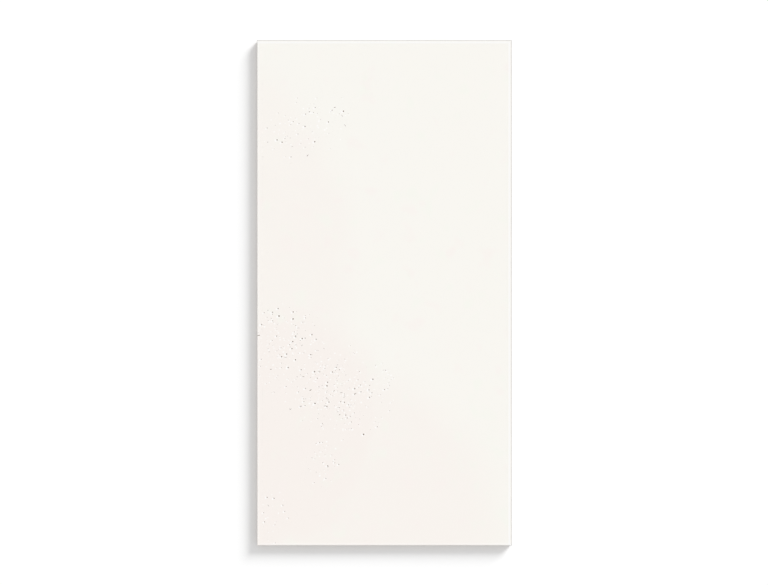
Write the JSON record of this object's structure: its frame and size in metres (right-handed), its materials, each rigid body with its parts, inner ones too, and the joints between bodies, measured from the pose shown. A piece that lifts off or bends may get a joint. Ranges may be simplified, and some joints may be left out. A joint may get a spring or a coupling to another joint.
{
  "type": "ceramic wall tile",
  "caption": "Rectangular pressed wall tile: warm white semi-matt glazed face with fine stone-like speckle, eased edges, and a keyed back of shallow pockets for the adhesive bed.",
  "frame": {"origin": "middle of the plane that the back's ribs and rim bear on", "axes": "+X across the width, +Y along the length, +Z out of the glazed face; the tile lies on its back"},
  "size_m": [0.305, 0.605, 0.009],
  "materials": {
    "glazed_clay": "semi-matt warm white glaze on the face and its eased edge; bare fired clay on the sides and the back"
  },
  "bodies": {
    "root": {"wall_tile": "glazed_clay"}
  },
  "joints": []
}
